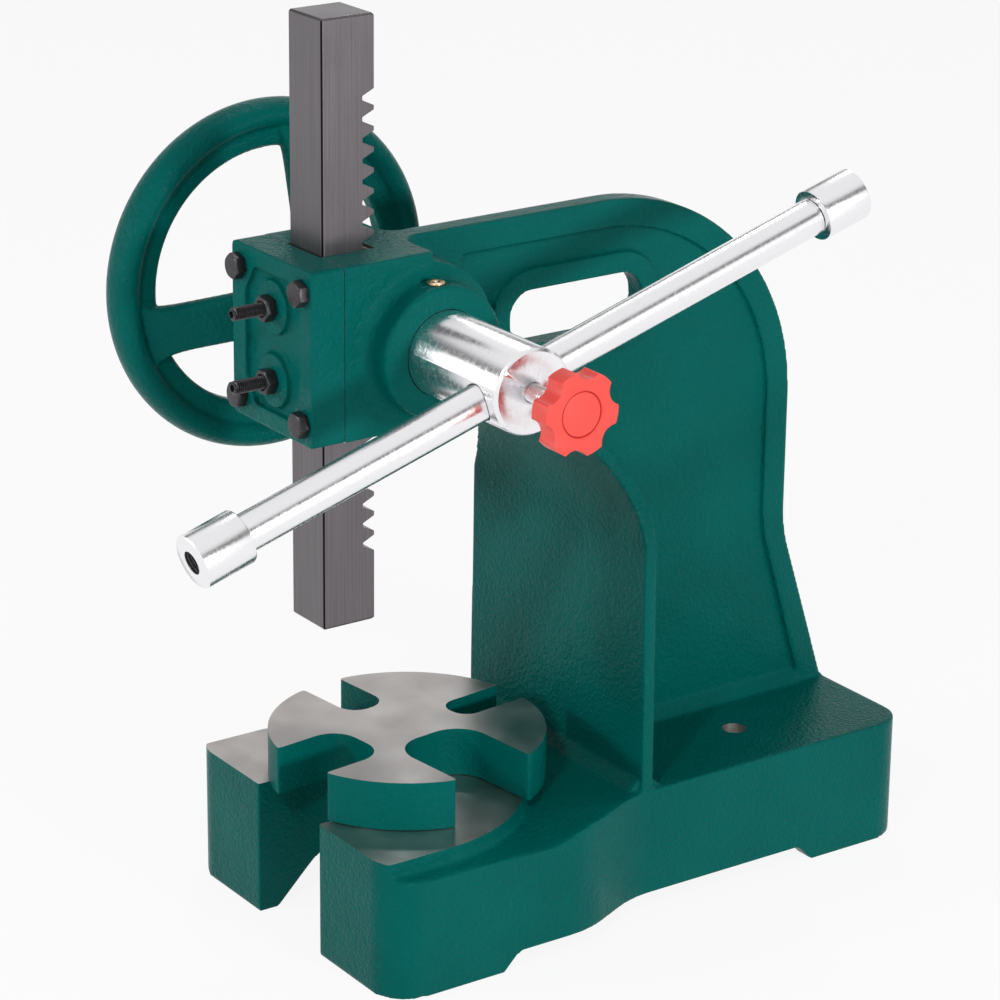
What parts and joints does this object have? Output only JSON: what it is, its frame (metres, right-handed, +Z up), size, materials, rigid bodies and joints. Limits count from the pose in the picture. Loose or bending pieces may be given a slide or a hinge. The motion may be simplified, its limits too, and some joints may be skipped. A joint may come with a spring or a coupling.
{
  "type": "arbor press",
  "caption": "Bench arbor press: cast frame, square rack ram, pinion shaft with a sliding bar lever and a hand wheel, and a notched table plate that turns over an open slot.",
  "frame": {"origin": "middle of the rear wall's underside, on the bench, at the rear_foot mount", "axes": "+X along the pinion shaft towards the lever, +Y back from the ram, +Z up the ram"},
  "size_m": [0.2453, 0.3968, 0.4075],
  "materials": {
    "green_enamel": "satin textured enamel on cast iron",
    "machined_iron": "machined",
    "ground_steel": "ground",
    "plated_steel": "bright",
    "black_oxide": "blackened",
    "red_plastic": "moulded",
    "brass": "turned"
  },
  "bodies": {
    "frame": {"frame_casting": "green_enamel", "cover_plate": "green_enamel", "cover_bolt_1": "black_oxide", "cover_bolt_2": "black_oxide", "cover_bolt_3": "black_oxide", "cover_bolt_4": "black_oxide", "gib": "brass", "gib_screw_upper": "black_oxide", "gib_screw_lower": "black_oxide", "jam_nut_upper": "black_oxide", "jam_nut_lower": "black_oxide", "table_pin": "plated_steel", "table_pin_nut": "black_oxide", "oiler_cup": "brass", "oiler_ball": "ground_steel"},
    "ram": {"ram": "ground_steel"},
    "pinion": {"pinion_shaft": "plated_steel", "hand_wheel": "green_enamel", "wheel_key": "plated_steel", "wheel_washer": "plated_steel", "wheel_bolt": "black_oxide"},
    "lever": {"lever_rod": "plated_steel", "lever_cap_front": "plated_steel", "lever_cap_rear": "plated_steel"},
    "stud": {"clamp_stud": "plated_steel"},
    "knob": {"star_knob": "red_plastic", "knob_cap": "red_plastic"},
    "table": {"table_plate": "machined_iron"}
  },
  "joints": [
    {"name": "pinion_turn", "type": "hinge", "parent": "frame", "child": "pinion", "pos_m": [0, -0.23967, 0.2699], "axis": [1, 0, 0], "range_deg": [-282.7, 222.8]},
    {"name": "ram_slide", "type": "slide", "parent": "frame", "child": "ram", "axis": [0, 0, 1], "range_m": [-0.0599, 0.076]},
    {"name": "lever_slide", "type": "slide", "parent": "pinion", "child": "lever", "axis": [0, 0.9566, 0.2914], "range_m": [-0.14, 0.114]},
    {"name": "knob_turn", "type": "hinge", "parent": "stud", "child": "knob", "pos_m": [0.1366, -0.23967, 0.2699], "axis": [1, 0, 0], "range_deg": [0, 1440]},
    {"name": "stud_slide", "type": "slide", "parent": "pinion", "child": "stud", "axis": [1, 0, 0], "range_m": [0, 0.005]},
    {"name": "table_turn", "type": "hinge", "parent": "frame", "child": "table", "pos_m": [0, -0.22715, 0.073], "axis": [0, 0, 1], "continuous": true}
  ],
  "couplings": [
    {"joint": "ram_slide", "follows": "pinion_turn", "m_per_rad": -0.0154},
    {"joint": "stud_slide", "follows": "knob_turn", "m_per_rad": 0.00019894}
  ]
}
